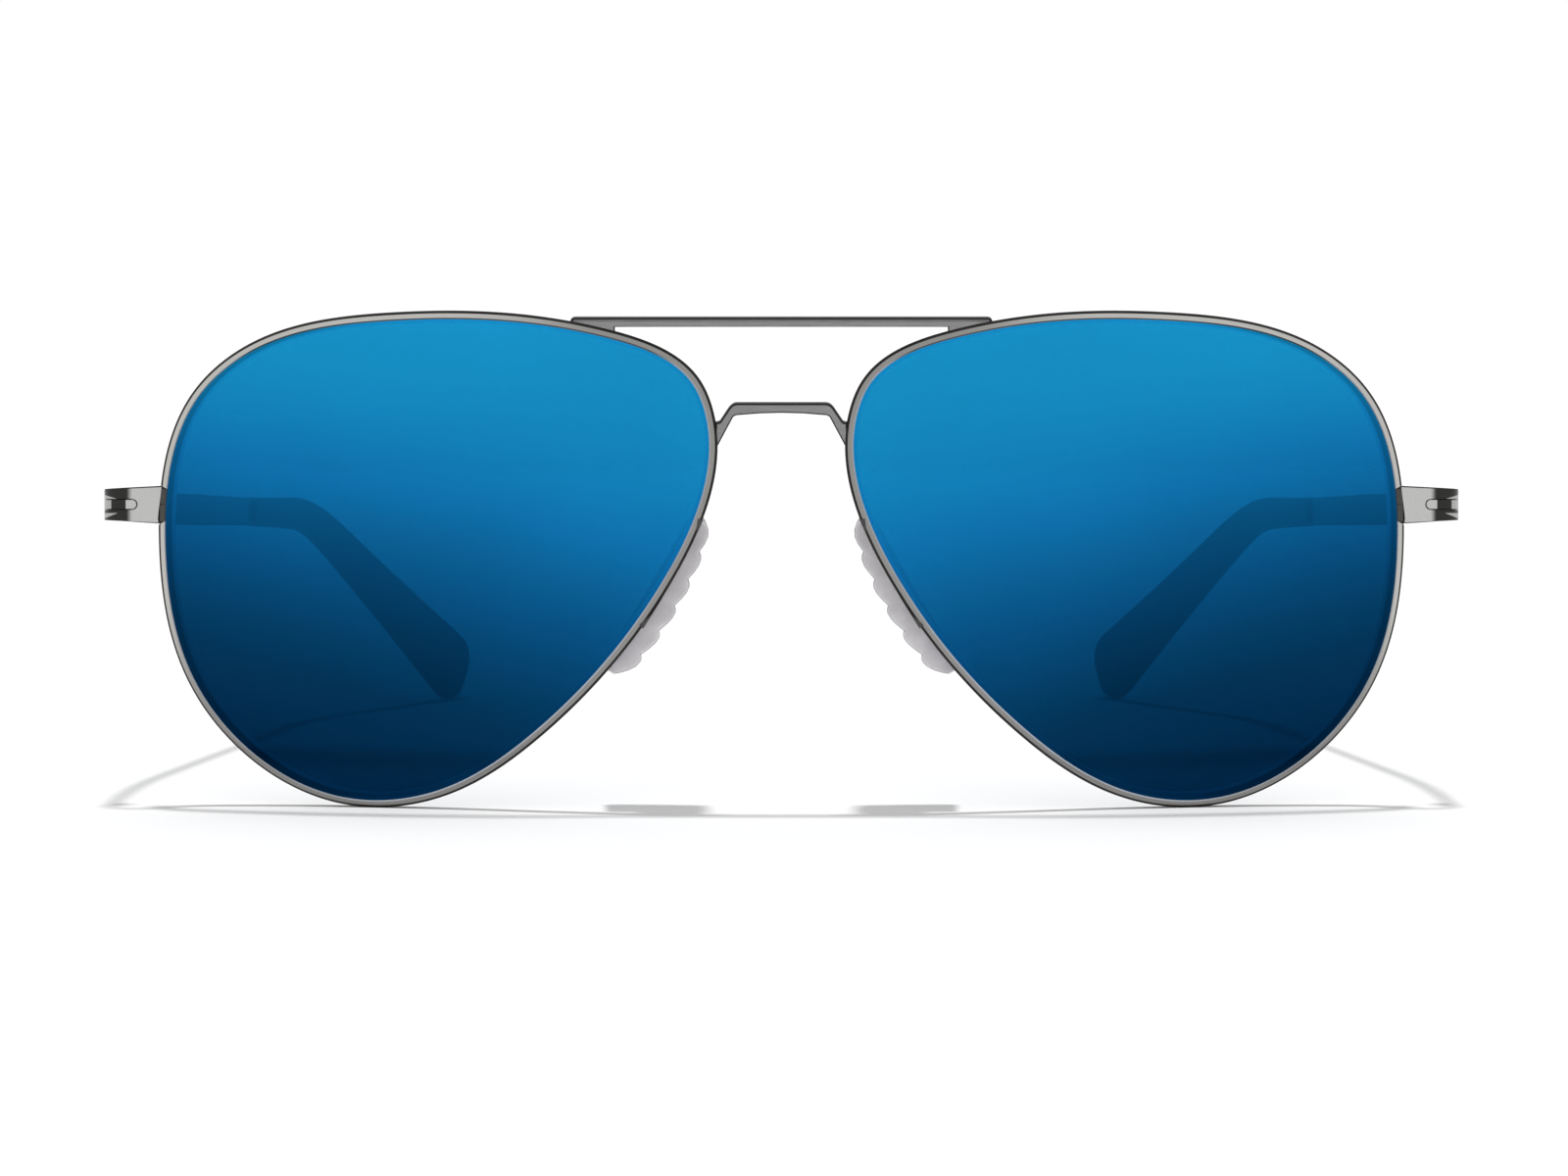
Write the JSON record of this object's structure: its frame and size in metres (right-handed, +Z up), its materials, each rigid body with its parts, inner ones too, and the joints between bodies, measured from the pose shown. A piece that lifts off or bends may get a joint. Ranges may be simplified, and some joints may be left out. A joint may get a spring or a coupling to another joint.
{
  "type": "aviator sunglasses",
  "caption": "Open aviator sunglasses: wire rims with blue mirror lenses, flat top bar, bridge, ribbed nose pads and folding temples with soft tips.",
  "frame": {"origin": "on the table, under the middle of the open glasses' box", "axes": "+X is the wearer's left, +Y runs back from the lenses to the temple tips, +Z is up from the table"},
  "size_m": [0.1418, 0.1424, 0.0518],
  "materials": {
    "rim_metal": "satin gunmetal plate, fine polishing lines along the wire",
    "bar_metal": "satin gunmetal plate, brushed lengthways",
    "temple_metal": "satin gunmetal plate, brushed lengthways",
    "dark_metal": "dark satin",
    "screw_metal": "turned, bright slot",
    "mirror_lens": "polished, blue mirror coat, darker downwards",
    "pad_rubber": "soft, cloudy, ribbed",
    "tip_rubber": "matte"
  },
  "bodies": {
    "front": {"rim_left": "rim_metal", "rim_right": "rim_metal", "lens_left": "mirror_lens", "lens_right": "mirror_lens", "top_bar": "bar_metal", "bridge": "bar_metal", "end_piece_left": "rim_metal", "end_piece_right": "rim_metal", "closing_block_upper_left": "dark_metal", "closing_block_upper_right": "dark_metal", "closing_block_lower_left": "dark_metal", "closing_block_lower_right": "dark_metal", "closing_screw_left": "screw_metal", "closing_screw_right": "screw_metal", "nose_pad_plate_left": "dark_metal", "nose_pad_plate_right": "dark_metal", "nose_pad_left": "pad_rubber", "nose_pad_right": "pad_rubber", "hinge_screw_left": "screw_metal", "hinge_screw_right": "screw_metal"},
    "left_temple": {"temple_left": "temple_metal", "temple_tip_left": "tip_rubber"},
    "right_temple": {"temple_right": "temple_metal", "temple_tip_right": "tip_rubber"}
  },
  "joints": [
    {"name": "left_temple_fold", "type": "hinge", "parent": "front", "child": "left_temple", "pos_m": [0.06957, -0.05791, 0.03131], "axis": [0, 0.0635, 0.998], "range_deg": [0, 76]},
    {"name": "right_temple_fold", "type": "hinge", "parent": "front", "child": "right_temple", "pos_m": [-0.06957, -0.05791, 0.03131], "axis": [0, -0.0635, -0.998], "range_deg": [0, 65]}
  ]
}
